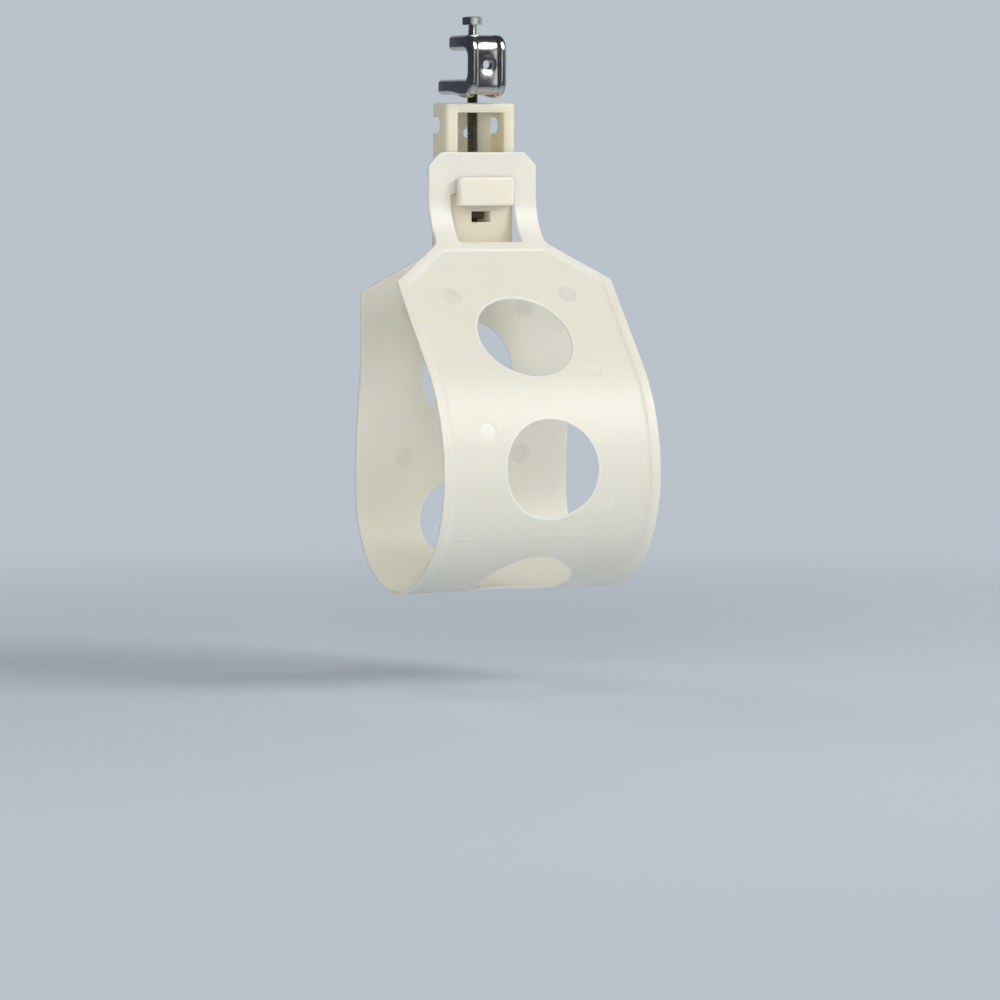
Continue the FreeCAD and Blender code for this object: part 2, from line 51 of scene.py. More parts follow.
OUTER_BEND = 7.0
FOOT_BEND = 4.2
INNER_BEND = 3.4
NOSE_ROUND = 2.2
WEB_BACK = -12.7
JAW_GAP = 12.3
CLAMP_TOP = 19.1
LOWER_JAW = -6.8
HEEL_DROP = 1.4
HEEL_AT = -9.3
UPPER_REACH = 6.6
LOWER_REACH = 18.2
WEB_HOLE_RISE = 6.2
WEB_HOLE_RADIUS = 2.4
DISH_BALL = 15.0
DISH_DEPTH = 0.65
DISH_TURN = 0.40
SCREW_HOLE_RADIUS = 2.16
SCREW_HOLE_MOUTH = 3.2
COUNTERSINK = 0.5
MOUTH_PAST = 0.54
ROD_HOLE_RADIUS = 2.42
CUT_PAST = 2.0
CUT_INTO_GAP = 1.0
THREAD_PITCH = 1.058
THREAD_DEPTH = 0.5
TAP_CHAMFER = 0.1
ZINC_PALE = (0.62, 0.63, 0.66, 1)
ZINC_WARM = (0.56, 0.54, 0.47, 1)


def rounded_outline(corners, radii, steps):
    """Outline through corners with each one rounded. The turn at a corner is the angle from its incoming
    side to its outgoing side. Its arc starts back along the incoming side by the radius times the tangent
    of half the turn, and its points are that start swung about the arc's middle by equal shares of the
    turn. Returns the points and, for an anticlockwise outline, the outward normals."""
    corners = np.asarray(corners, float)
    arriving = corners - np.roll(corners, 1, 0)
    leaving = np.roll(corners, -1, 0) - corners
    arriving /= np.linalg.norm(arriving, axis=1)[:, None]
    leaving /= np.linalg.norm(leaving, axis=1)[:, None]
    cross = arriving[:, 0] * leaving[:, 1] - arriving[:, 1] * leaving[:, 0]
    turn = np.arctan2(cross, (arriving * leaving).sum(1))
    hand = np.sign(turn)[:, None]
    radii = np.broadcast_to(np.asarray(radii, float), turn.shape)[:, None]
    start = corners - arriving * radii * np.tan(np.abs(turn) / 2)[:, None]
    inward = np.stack([-arriving[:, 1], arriving[:, 0]], 1) * hand
    middle = start + inward * radii
    swing = (turn[:, None] * np.linspace(0, 1, steps + 1))[..., None]
    across = np.stack([inward[:, 1], -inward[:, 0]], 1)[:, None]
    arm = -np.cos(swing) * inward[:, None] + np.sin(swing) * across
    points = middle[:, None] + arm * radii[:, None]
    return points.reshape(-1, 2), (arm * hand[:, None]).reshape(-1, 2)


def smooth_step(share):
    """Zero below 0, one above 1, and three times the square less twice the cube between."""
    share = np.clip(share, 0, 1)
    return share * share * (3 - 2 * share)


def grid_faces(index, wrap=False):
    """Quads between the neighbours of a grid of point numbers; wrap joins its last column to its first."""
    if wrap:
        index = np.concatenate([index, index[:, :1]], 1)
    return np.stack([index[:-1, :-1], index[:-1, 1:], index[1:, 1:], index[1:, :-1]], -1).reshape(-1, 4)


def new_piece(name, points, faces):
    """Object at the origin from points in millimetres: doubles are merged and faces turned outwards."""
    mesh = bpy.data.meshes.new(name)
    mesh.from_pydata((np.asarray(points) * MM).tolist(), [], [list(face) for face in faces])
    work = bmesh.new()
    work.from_mesh(mesh)
    bmesh.ops.remove_doubles(work, verts=work.verts, dist=1e-7)
    bmesh.ops.dissolve_degenerate(work, edges=work.edges, dist=1e-8)
    bmesh.ops.recalc_face_normals(work, faces=work.faces)
    work.to_mesh(mesh)
    work.free()
    piece = bpy.data.objects.new(name, mesh)
    bpy.context.scene.collection.objects.link(piece)
    return piece


def shade(piece, material, sharp=35):
    """Smooth shading, broken at edges sharper than an angle in degrees, and the piece's one material."""
    piece.data.shade_smooth()
    piece.data.set_sharp_from_angle(angle=math.radians(sharp))
    piece.data.materials.clear()
    piece.data.materials.append(material)


def turned(profile, around=48):
    """A lathe: each point (radius, height) of a profile from axis to axis is swung round the Z axis."""
    profile = np.asarray(profile, float)
    angle = np.linspace(0, 2 * np.pi, around, endpoint=False)
    points = np.stack([profile[:, :1] * np.cos(angle), profile[:, :1] * np.sin(angle),
                       np.broadcast_to(profile[:, 1:], (len(profile), around))], -1)
    index = np.arange(len(profile) * around).reshape(len(profile), around)
    return points.reshape(-1, 3), grid_faces(index, wrap=True).tolist()


def threaded_bar(bottom, top, radius, depth, pitch, chamfer, around=40):
    """A closed bar with one right-hand thread. A point is set by its turns round the bar and its share of
    a pitch: its height is the turns plus the share, times the pitch, and its radius runs from a flat crest
    down a straight flank to a flat root and up again. Near an end the radius stays inside a cone of 45
    degrees, and heights past the end are held at the end, where a flat disc closes the bar."""
    share = np.array([1, 7, 9, 15]) / 16
    crest = np.array([radius, radius - depth, radius - depth, radius])
    turns = np.arange(-2 * around, math.ceil((top - bottom) / pitch + 1) * around + 1)[:, None] / around
    height = np.clip(bottom + pitch * (turns + share), bottom, top)
    reach = radius - chamfer + np.minimum(height - bottom, top - height)
    reach = np.minimum(crest, reach)
    angle = 2 * np.pi * turns
    points = np.stack([reach * np.cos(angle), reach * np.sin(angle), height], -1)
    index = np.arange(height.size).reshape(height.shape)
    seam = np.stack([index[:-around, -1], index[around:, 0]], 1)
    faces = np.concatenate([grid_faces(index), grid_faces(seam)]).tolist()
    return points.reshape(-1, 3), faces + [index[:around, 0].tolist(), index[-around - 1:-1, -1].tolist()]


def along_front(points):
    """Points built along Z, turned so that their height runs towards the front, -Y."""
    return np.stack([points[:, 0], -points[:, 2], points[:, 1]], -1)


def drill(piece, cutters):
    """Cut closed shapes out of a piece for good, one after another, and close up the slivers they leave."""
    for points, faces in cutters:
        cutter = new_piece("cutter", points, faces)
        cut = piece.modifiers.new("cut", "BOOLEAN")
        cut.operation = "DIFFERENCE"
        cut.solver = "EXACT"
        cut.object = cutter
        done = bpy.data.meshes.new_from_object(piece.evaluated_get(bpy.context.evaluated_depsgraph_get()))
        piece.modifiers.remove(cut)
        piece.data = done
        bpy.data.meshes.remove(cutter.data)
    work = bmesh.new()
    work.from_mesh(piece.data)
    bmesh.ops.dissolve_degenerate(work, edges=work.edges, dist=2e-6)
    work.to_mesh(piece.data)
    work.free()


class Wire:
    """A socket in a material's node tree. Arithmetic on it adds Math nodes to the tree."""

    def __init__(self, tree, socket=None):
        self.tree = tree
        self.socket = socket

    def node(self, kind, settings=None, sockets=None, out=0):
        """Any node: its settings first, then the values or wires of its sockets; gives back one output."""
        made = self.tree.nodes.new(kind)
        for name, value in (settings or {}).items():
            setattr(made, name, value)
        for name, value in (sockets or {}).items():
            if isinstance(value, Wire):
                self.tree.links.new(value.socket, made.inputs[name])
            else:
                made.inputs[name].default_value = value
        return Wire(self.tree, made.outputs[out])

    def maths(self, operation, first, second=0.0, clamp=False):
        """A Math node on two values."""
        return self.node("ShaderNodeMath", {"operation": operation, "use_clamp": clamp},
                         {0: first, 1: second})

    def __add__(self, other):
        return self.maths("ADD", self, other)

    __radd__ = __add__

    def __sub__(self, other):
        return self.maths("SUBTRACT", self, other)

    def __rsub__(self, other):
        return self.maths("SUBTRACT", other, self)

    def __mul__(self, other):
        return self.maths("MULTIPLY", self, other)

    __rmul__ = __mul__

    def __truediv__(self, other):
        return self.maths("DIVIDE", self, other)

    def clamped(self):
        """The value held between 0 and 1."""
        return self.maths("ADD", self, 0.0, clamp=True)

    def noise(self, scale, detail=3.0, roughness=0.5):
        """Noise on these coordinates, with so many features to the metre."""
        return self.node("ShaderNodeTexNoise", None,
                         {"Vector": self, "Scale": scale, "Detail": detail, "Roughness": roughness})

    def blend(self, low, high):
        """A colour between two, by this value."""
        return self.node("ShaderNodeMix", {"data_type": "RGBA"}, {0: self, 6: low, 7: high}, out=2)

    def bump(self, distance):
        """A normal from this height, where 1 stands for a distance in metres."""
        return self.node("ShaderNodeBump", None, {"Strength": 1.0, "Distance": distance, "Height": self})


def new_finish(name, **constants):
    """A material: gives it back with its Principled shader, and a wire on the piece's own coordinates."""
    material = bpy.data.materials.new(name)
    material.use_nodes = True
    shader = material.node_tree.nodes["Principled BSDF"]
    for socket, value in constants.items():
        shader.inputs[socket.replace("_", " ")].default_value = value
    place = Wire(material.node_tree).node("ShaderNodeTexCoord", out="Object")
    return material, shader, place


def connect(shader, **wires):
    """Link wires to a shader's sockets, named with _ for a space."""
    for socket, wire in wires.items():
        wire.tree.links.new(wire.socket, shader.inputs[socket.replace("_", " ")])


def zinc(name, pale, warm):
    """Bright zinc: cool metal with faint warm passivation clouds, a fine haze from handling and a softly
    uneven cast skin."""
    material, shader, place = new_finish(name, Metallic=1.0)
    cloud = (place.noise(260, 4) * 2.6 - 0.95).clamped()
    haze = place.noise(1500, 5, 0.65)
    connect(shader, Base_Color=cloud.blend(warm, pale), Roughness=0.12 + 0.16 * haze,
            Normal=(place.noise(240, 2) + 0.12 * haze).bump(0.00007))
    return material


# The section's outline at the channel; the ridges stand out from it in front and below the heel,
# and go round the foot in a wider bend
ROUND_STEPS = 10
UNDERSIDE_STEPS = 12
side_line, side_out = rounded_outline([
    (WEB_BACK, 0), (WEB_BACK, JAW_GAP), (UPPER_REACH, JAW_GAP), (UPPER_REACH, CLAMP_TOP),
    (CHANNEL_FLOOR, CLAMP_TOP), (CHANNEL_FLOOR, LOWER_JAW), (LOWER_REACH, LOWER_JAW), (LOWER_REACH, 0),
], [INNER_BEND, INNER_BEND, NOSE_ROUND, NOSE_ROUND, OUTER_BEND, FOOT_BEND, NOSE_ROUND, NOSE_ROUND],
    ROUND_STEPS)
on_front = np.repeat([0.0, 0, 0, 0, 1, 1, 0, 0], ROUND_STEPS + 1)
on_heel = np.repeat([0.0, 0, 0, 0, 0, 1, 0, 0], ROUND_STEPS + 1)
underside = np.linspace(HEEL_AT, UPPER_REACH, UNDERSIDE_STEPS)
heel_end = 6 * (ROUND_STEPS + 1)
side_line = np.insert(side_line, heel_end, [[y, LOWER_JAW] for y in underside], 0)
side_out = np.insert(side_out, heel_end, [[0, -1]] * UNDERSIDE_STEPS, 0)
on_front = np.insert(on_front, heel_end, [0] * UNDERSIDE_STEPS)
on_heel = np.insert(on_heel, heel_end, smooth_step((UPPER_REACH - underside) / (UPPER_REACH - HEEL_AT)))
ridge_out = np.stack([-CHANNEL_DEPTH * on_front, -HEEL_DROP * on_heel], -1)
foot = slice(heel_end - ROUND_STEPS - 1, heel_end)
ridge_out[foot] += (OUTER_BEND - FOOT_BEND) * (1 + side_out[foot])
edge_swing = np.linspace(0, np.pi / 2, 9)
clamp_across = np.concatenate([
    [0.0], CHANNEL_HALF + CHANNEL_WALL * np.linspace(0, 1, 11),
    CLAMP_HALF - CLAMP_EDGE + CLAMP_EDGE * np.sin(edge_swing)])
edge_inset = np.zeros(len(clamp_across))
edge_inset[-len(edge_swing):] = CLAMP_EDGE * (1 - np.cos(edge_swing))
clamp_across = np.concatenate([-clamp_across[:0:-1], clamp_across])
edge_inset = np.concatenate([edge_inset[:0:-1], edge_inset])[:, None, None]
ridge = smooth_step((np.abs(clamp_across) - CHANNEL_HALF) / CHANNEL_WALL)[:, None, None]
clamp_grid = side_line + ridge_out * ridge - side_out * edge_inset
clamp_points = np.concatenate(
    [np.broadcast_to(clamp_across[:, None, None], clamp_grid.shape[:2] + (1,)), clamp_grid], -1)
clamp_index = np.arange(clamp_points.size // 3).reshape(clamp_points.shape[:2])
clamp_faces = grid_faces(clamp_index, wrap=True).tolist()
clamp_faces += [clamp_index[0].tolist(), clamp_index[-1].tolist()]
clamp = new_piece("clamp_casting", clamp_points.reshape(-1, 3), clamp_faces)
web_tap, tap_faces = threaded_bar(
    -WEB_BACK - CUT_PAST, CUT_PAST - CHANNEL_FLOOR, WEB_HOLE_RADIUS, THREAD_DEPTH, THREAD_PITCH,
    TAP_CHAMFER)
dish_swing = np.linspace(0, DISH_TURN, 14)
web_dish, dish_faces = turned(np.concatenate([
    np.column_stack([DISH_BALL * np.sin(dish_swing),
                     DISH_BALL * (1 - np.cos(dish_swing)) - CHANNEL_FLOOR - DISH_DEPTH]),
    [(0, CUT_PAST - CHANNEL_FLOOR)]]), 64)
lift = np.array([0, 0, WEB_HOLE_RISE])
drill(clamp, [
    (along_front(web_tap) + lift, tap_faces),
    (along_front(web_dish) + lift, dish_faces),
    turned([(0, JAW_GAP - CUT_INTO_GAP), (SCREW_HOLE_RADIUS, JAW_GAP - CUT_INTO_GAP),
            (SCREW_HOLE_RADIUS, CLAMP_TOP - COUNTERSINK), (SCREW_HOLE_MOUTH, CLAMP_TOP + MOUTH_PAST),
            (0, CLAMP_TOP + MOUTH_PAST)]),
    turned([(0, LOWER_JAW - CUT_PAST), (ROD_HOLE_RADIUS, LOWER_JAW - CUT_PAST),
            (ROD_HOLE_RADIUS, CUT_INTO_GAP), (0, CUT_INTO_GAP)]),
])
clamp_zinc = zinc("clamp_zinc", ZINC_PALE, ZINC_WARM)
shade(clamp, clamp_zinc)
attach(clamp, "clamp")
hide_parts("beam_clamp_body")

# Set screw: a hex-headed steel screw with a machine thread, zinc plated like the clamp.
# Turned down through the upper jaw until its tip grips what lies between the jaws.
SCREW_RADIUS = 2.1
SCREW_TIP = 6.6
SCREW_SEAT = 23.6
SCREW_TOP = 27.2
SCREW_FLATS = 8.0
SCREW_CROWN = 3.85
SCREW_CHAMFER = 0.6
SCREW_TURN = math.radians(-6.5)
SCREW_PALE = (0.72, 0.72, 0.73, 1)
SCREW_WARM = (0.60, 0.58, 0.53, 1)


def hex_prism(flats, rings, turn=0.0, corner_round=0.3):
    """A hexagon with slightly rounded corners carried up through rings. A ring (share, height, crown) is
    the outline shrunk to a share of its size, at a height that drops by the outline's own reach past the
    crown's radius times the tangent of 30 degrees, which is how a turned crown cuts a hexagon's corners."""
    angle = turn + np.arange(6) * np.pi / 3
    corners = flats / math.sqrt(3) * np.stack([np.cos(angle), np.sin(angle)], 1)
    outline, _ = rounded_outline(corners, corner_round, 5)
    past = np.linalg.norm(outline, axis=1)
    layers = []
    for share, height, crown in rings:
        drop = 0 if crown is None else np.maximum(past * share - abs(crown), 0) * math.tan(math.pi / 6)
        level = height - drop * (1 if crown is None or crown > 0 else -1)
        layers.append(np.column_stack([outline * share, np.broadcast_to(level, past.shape)]))
    index = np.arange(len(rings) * len(outline)).reshape(len(rings), -1)
    return np.concatenate(layers), grid_faces(index, wrap=True).tolist(), index


head_rings = [(0.985, SCREW_SEAT, None), (1.0, SCREW_SEAT + 0.08, None)]
head_rings += [(share, SCREW_TOP, SCREW_CROWN) for share in (1.0, 0.955, 0.90, 0.80)]
head_points, head_faces, head_index = hex_prism(SCREW_FLATS, head_rings, turn=SCREW_TURN)
head_faces += [head_index[0].tolist(), head_index[-1].tolist()]
shank_points, shank_faces = threaded_bar(
    SCREW_TIP, SCREW_SEAT + 0.4, SCREW_RADIUS, THREAD_DEPTH, THREAD_PITCH, SCREW_CHAMFER)
screw_faces = head_faces + [[corner + len(head_points) for corner in face] for face in shank_faces]
screw = new_piece("hex_set_screw", np.concatenate([head_points, shank_points]), screw_faces)
shade(screw, zinc("screw_zinc", SCREW_PALE, SCREW_WARM))
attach(screw, "set_screw")
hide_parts("clamp_set_screw")

# Hanger rod: a length of threaded steel rod, blackened with oil, cut square and chamfered at both ends.
# Screwed up into the clamp's lower jaw; it hangs down through the roof of the loop's head.
ROD_RADIUS = 2.4
ROD_TOP = -0.6
ROD_BOTTOM = -64.0
ROD_THREAD = 0.32
ROD_CHAMFER = 0.5
OXIDE_DARK = (0.11, 0.103, 0.093, 1)
OXIDE_RUBBED = (0.20, 0.185, 0.163, 1)


def black_oxide(name):
    """Oiled black oxide: near black metal, browner where it is rubbed, with a fine uneven sheen."""
    material, shader, place = new_finish(name, Metallic=0.85)
    rubbed = (place.noise(700, 4, 0.6) * 2.4 - 0.9).clamped()
    connect(shader, Base_Color=rubbed.blend(OXIDE_DARK, OXIDE_RUBBED),
            Roughness=0.24 + 0.16 * place.noise(1800, 4), Normal=place.noise(2600, 3).bump(0.00003))
    return material


rod = new_piece("threaded_rod", *threaded_bar(
    ROD_BOTTOM, ROD_TOP, ROD_RADIUS, ROD_THREAD, THREAD_PITCH, ROD_CHAMFER))
dark_steel = black_oxide("rod_black_oxide")
shade(rod, dark_steel)
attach(rod, "clamp")
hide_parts("hanger_rod")

# Captive nut: a plain hex nut of the same black steel, crowned on both faces.
# It lies in the slot of the loop's head, runs on the rod's thread and carries the loop.
NUT_TOP = -57.6
NUT_BOTTOM = -60.8
NUT_FLATS = 8.7
NUT_CROWN = 4.1
NUT_BORE = 2.45
NUT_LEAD = 0.4
nut_rings = [(share, NUT_BOTTOM, -NUT_CROWN) for share in (0.86, 0.95, 1.0)]
nut_rings += [(share, NUT_TOP, NUT_CROWN) for share in (1.0, 0.95, 0.86)]
nut_body, nut_faces, nut_index = hex_prism(NUT_FLATS, nut_rings, turn=math.pi / 6)
bore_turn = np.arctan2(nut_body[nut_index[0], 1], nut_body[nut_index[0], 0])
bore_ring = np.column_stack([np.cos(bore_turn), np.sin(bore_turn)])
bore = [np.column_stack([bore_ring * radius, np.full(len(bore_turn), height)]) for radius, height in (
    (NUT_BORE + NUT_LEAD, NUT_TOP), (NUT_BORE, NUT_TOP - NUT_LEAD),
    (NUT_BORE, NUT_BOTTOM + NUT_LEAD), (NUT_BORE + NUT_LEAD, NUT_BOTTOM))]
bore_index = len(nut_body) + np.arange(4 * len(bore_turn)).reshape(4, -1)
nut_faces = np.concatenate(
    [nut_faces, grid_faces(np.concatenate([nut_index[-1:], bore_index, nut_index[:1]]), wrap=True)])
nut = new_piece("hex_nut", np.concatenate([nut_body] + bore), nut_faces.tolist())
shade(nut, dark_steel)
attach(nut, "loop")
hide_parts("captive_hex_nut")

# Strap: one wide band of natural, milky plastic, moulded in one with the head and bent round into a loop.
# It has a thicker border, five round holes down its middle and a neck whose window hooks on the catch;
# thin discs are left where the mould's ejector pins pushed it out.
HEAD_TOP = -10.4
SLOPE = math.radians(41.3)
LEAN = math.radians(11.869)
STRAP_THICK = 1.6
BORDER = 4.65
RECESS = 0.35
HOLE_RADIUS = 21.5
HOLE_AT = 94.82 + np.array([0, 63.5, 127.0, 196.2, 265.4])
BLOCK_HALF = 25.0
WINDOW_HALF = 15.1
WINDOW_AT = (17.9, 41.85)
WINDOW_MARGIN = 3.0
WINDOW_ROUND = 1.4
SHOULDER = (42.11, 63.41)
REAR_SHOULDER = (395.55, 413.05)
NECK_HALF = 25.8
STRAP_HALF = 51.0
TAIL_HALF = 16.3
TAIL_END = 419.0
PANEL_TOP = 46.5
STEP_HALF = 0.35
NECK_TOP = (-10.0, HEAD_TOP - 21.4)
NECK_RUN = 19.3
NECK_BEND = 26.7
NECK_CHAMFER = 5.7
FRONT_RUN = 73.023
BULGE_BEND = 69.0
FRONT_BELLY = 51.778
REAR_BELLY = 42.022
REAR_BEND = 230.0
HEAD_BEND = 60.0
TAIL_RUN = 70.0
RIM_ROUND = 0.45
NECK_ROUND = 2.0
NECK_FOOT = 6.0
SHOULDER_ROUND = 1.2
TAIL_FOOT = 4.0
SQUARE = 0.1
LEAST_BORDER = 2.4
TUCK = 0.12
TUCK_RUN = 0.8
bend_radius = np.array([np.inf, NECK_BEND, np.inf, -BULGE_BEND, -FRONT_BELLY, -REAR_BELLY, -REAR_BEND,
                        HEAD_BEND, np.inf])
run_length = np.array([NECK_RUN, NECK_BEND * SLOPE, FRONT_RUN, BULGE_BEND * SLOPE, FRONT_BELLY * np.pi / 2,
                       REAR_BELLY * np.pi / 2, REAR_BEND * LEAN, HEAD_BEND * LEAN, TAIL_RUN])
bend_rate = np.where(np.isinf(bend_radius), 1e-9, 1 / bend_radius)
run_start = np.concatenate([[0], np.cumsum(run_length)[:-1]])
heading = np.concatenate([[0], np.cumsum(run_length * bend_rate)[:-1]])
run_step = np.stack([np.cos(heading + run_length * bend_rate) - np.cos(heading),
                     np.sin(heading) - np.sin(heading + run_length * bend_rate)], 1) / bend_rate[:, None]
run_from = np.array(NECK_TOP) + np.concatenate([[[0, 0]], np.cumsum(run_step, 0)[:-1]])


def on_strap(across, along, offset):
    """Points of the strap from places on its flat pattern. The middle line is straight runs and arcs end
    to end: the heading grows by distance times bend rate, and the place is the run's start plus the
    difference of the heading's cosine, and of its sine, over the bend rate. The offset is along the
    outward normal."""
    run = np.searchsorted(run_start, along, "right") - 1
    rate = bend_rate[run]
    turn = heading[run] + (along - run_start[run]) * rate
    y = run_from[run, 0] + (np.cos(turn) - np.cos(heading[run])) / rate
    z = run_from[run, 1] + (np.sin(heading[run]) - np.sin(turn)) / rate
    return np.stack([across, y - offset * np.cos(turn), z + offset * np.sin(turn)], -1)


# Rows along the strap, as places and the rows from each to the next, and columns across it;
# the middle columns make square blocks for the holes
OUTLINE_STEPS = 12
WINDOW_STOP = 3
FIRST_HOLE_STOP = 8
MIDDLE = 32
stops = [(0, 3), (1.5, 8), (6.5, 6), (WINDOW_AT[0] - WINDOW_MARGIN, 22), (WINDOW_AT[1] + WINDOW_MARGIN, 4),
         (PANEL_TOP - 0.3, 3), (PANEL_TOP + 0.3, 18), (SHOULDER[1] + 2.0, 4)]
for hole_at, gap_rows in zip(HOLE_AT, (9, 9, 12, 12, 8)):
    stops += [(hole_at - BLOCK_HALF, MIDDLE), (hole_at + BLOCK_HALF, gap_rows)]
stops += [(REAR_SHOULDER[0] - 1.5, 24), (REAR_SHOULDER[1] + 1.5, 4), (TAIL_END, 0)]
first_row = np.concatenate([[0], np.cumsum([count for _, count in stops])])
row_at = np.concatenate([np.linspace(here[0], there[0], here[1], endpoint=False)
                         for here, there in zip(stops[:-1], stops[1:])] + [[TAIL_END]])
outline_half, _ = rounded_outline([
    (0, 0), (NECK_HALF - NECK_CHAMFER, 0), (NECK_HALF, NECK_CHAMFER), (NECK_HALF, SHOULDER[0]),
    (STRAP_HALF, SHOULDER[1]), (STRAP_HALF, REAR_SHOULDER[0]), (TAIL_HALF, REAR_SHOULDER[1]),
    (TAIL_HALF, TAIL_END), (0, TAIL_END),
], [SQUARE, NECK_ROUND, NECK_ROUND, NECK_FOOT, SHOULDER_ROUND, SHOULDER_ROUND, TAIL_FOOT, SQUARE, SQUARE],
    OUTLINE_STEPS)
edge_line = outline_half[OUTLINE_STEPS + 1:-OUTLINE_STEPS - 1]
half_width = np.interp(row_at, edge_line[:, 1], edge_line[:, 0])
block_half = np.interp(
    row_at, [0, WINDOW_AT[0] - WINDOW_MARGIN, WINDOW_AT[1] + WINDOW_MARGIN, HOLE_AT[0] - BLOCK_HALF,
             HOLE_AT[-1] + BLOCK_HALF, REAR_SHOULDER[1]],
    [12, WINDOW_HALF + WINDOW_MARGIN, WINDOW_HALF + WINDOW_MARGIN, BLOCK_HALF, BLOCK_HALF, 9])
front_run = (STRAP_HALF - NECK_HALF) / (SHOULDER[1] - SHOULDER[0])
rear_run = (STRAP_HALF - TAIL_HALF) / (REAR_SHOULDER[1] - REAR_SHOULDER[0])


def border_reach(across, along):
    """Distance in from the strap's border: the least of the distances to its side, to the lines of its
    front and rear shoulders, and to the panel's top edge."""
    side = STRAP_HALF - np.abs(across)
    front = NECK_HALF + (along - SHOULDER[0]) * front_run - np.abs(across)
    rear = TAIL_HALF + (REAR_SHOULDER[1] - along) * rear_run - np.abs(across)
    return np.minimum.reduce([side, front / math.hypot(1, front_run), rear / math.hypot(1, rear_run),
                              along - PANEL_TOP + BORDER])


step_at = np.minimum.reduce([
    np.full(len(row_at), STRAP_HALF - BORDER),
    NECK_HALF + (row_at - SHOULDER[0]) * front_run - BORDER * math.hypot(1, front_run),
    TAIL_HALF + (REAR_SHOULDER[1] - row_at) * rear_run - BORDER * math.hypot(1, rear_run)])
side_room = half_width - LEAST_BORDER - block_half
step_at = np.clip(step_at, block_half + 0.45 * side_room, block_half + side_room)[:, None]
side_columns = np.concatenate([
    block_half[:, None] + (step_at - STEP_HALF - block_half[:, None]) * np.linspace(0, 1, 10),
    step_at + np.array([-0.12, 0.12, STEP_HALF]),
    step_at + STEP_HALF + (half_width[:, None] - step_at - STEP_HALF) * np.array([0.4, 0.75, 1.0])], 1)
middle_columns = block_half[:, None] * np.linspace(-1, 1, MIDDLE + 1)[1:-1]
flat_across = np.concatenate([-side_columns[:, ::-1], middle_columns, side_columns], 1)
flat_along = np.broadcast_to(row_at[:, None], flat_across.shape)
flat_index = np.arange(flat_across.size).reshape(flat_across.shape)
left_column = side_columns.shape[1] - 1
flat = [np.stack([flat_across, flat_along], -1).reshape(-1, 2)]
kept = np.ones((len(row_at) - 1, flat_across.shape[1] - 1), bool)
strap_quads = []


def round_hole(middle):
    """Curve of a hole from the border of its block: each border point drawn in to the hole's radius."""
    def curve(border):
        arm = border - middle
        return middle + arm * (HOLE_RADIUS / np.linalg.norm(arm, axis=1))[:, None]
    return curve


def window_curve(border):
    """Curve of the window: the block's border shrunk to the window's size, its corners rounded by pushing
    each point out from the nearest point of a smaller rectangle by the corner's radius."""
    middle = np.array([0, sum(WINDOW_AT) / 2])
    half = np.array([WINDOW_HALF, (WINDOW_AT[1] - WINDOW_AT[0]) / 2])
    spot = (border - middle) * half / np.abs(border - middle).max(0)
    inner = np.clip(spot, WINDOW_ROUND - half, half - WINDOW_ROUND)
    arm = spot - inner
    return middle + inner + WINDOW_ROUND * arm / np.linalg.norm(arm, axis=1)[:, None]


openings = [(WINDOW_STOP, window_curve)]
openings += [(FIRST_HOLE_STOP + 2 * number, round_hole(np.array([0, at])))
             for number, at in enumerate(HOLE_AT)]
for stop, curve in openings:
    top, low = first_row[stop], first_row[stop + 1]
    left, right = left_column, left_column + MIDDLE
    kept[top:low, left:right] = False
    border = np.concatenate([flat_index[top, left:right], flat_index[top:low, right],
                             flat_index[low, right:left:-1], flat_index[low:top:-1, left]])
    shares = np.array([0.38, 0.66, 0.84, 1.0])[:, None, None]
    outer = flat[0][border]
    rings = outer + (curve(outer) - outer) * shares
    ring_index = sum(len(part) for part in flat) + np.arange(rings.shape[0] * rings.shape[1])
    flat.append(rings.reshape(-1, 2))
    ring_index = np.concatenate([border[None], ring_index.reshape(rings.shape[:2])])
    strap_quads.append(grid_faces(ring_index, wrap=True)[:, ::-1])
strap_quads = np.concatenate([grid_faces(flat_index)[kept.ravel()]] + strap_quads)
flat = np.concatenate(flat)
used = np.unique(strap_quads)
flat = flat[used]
strap_quads = np.searchsorted(used, strap_quads)
sunk = RECESS * smooth_step((border_reach(*flat.T) - BORDER + STEP_HALF) / (2 * STEP_HALF))
tucked = TUCK * smooth_step((flat[:, 1] - REAR_SHOULDER[1] - TUCK_RUN) / TUCK_RUN)
outer_face = on_strap(flat[:, 0], flat[:, 1], STRAP_THICK / 2 - sunk - tucked)
inner_face = on_strap(flat[:, 0], flat[:, 1], -STRAP_THICK / 2 + tucked)
sides = np.stack([strap_quads, np.roll(strap_quads, -1, 1)], -1).reshape(-1, 2)
_, first, uses = np.unique(np.sort(sides, 1), axis=0, return_index=True, return_counts=True)
rim = sides[first[uses == 1]]
rim_quads = np.column_stack([rim[:, ::-1], rim + len(flat)])
strap = new_piece("moulded_strap", np.concatenate([outer_face, inner_face]),
                  np.concatenate([strap_quads, strap_quads[:, ::-1] + len(flat), rim_quads]).tolist())
pattern = strap.data.attributes.new("flat_pattern", "FLOAT_VECTOR", "POINT")
flat_places = np.column_stack([np.tile(flat, (2, 1)), np.zeros(2 * len(flat))])
pattern.data.foreach_set("vector", flat_places.ravel())
panel_share = strap.data.attributes.new("panel", "FLOAT", "POINT")
panel_share.data.foreach_set("value", np.tile(sunk / RECESS, 2))
strap_rim = strap.modifiers.new("rim_round", "BEVEL")
strap_rim.width = RIM_ROUND * MM
strap_rim.segments = 3
strap_rim.limit_method = "ANGLE"
strap_rim.angle_limit = math.radians(50)

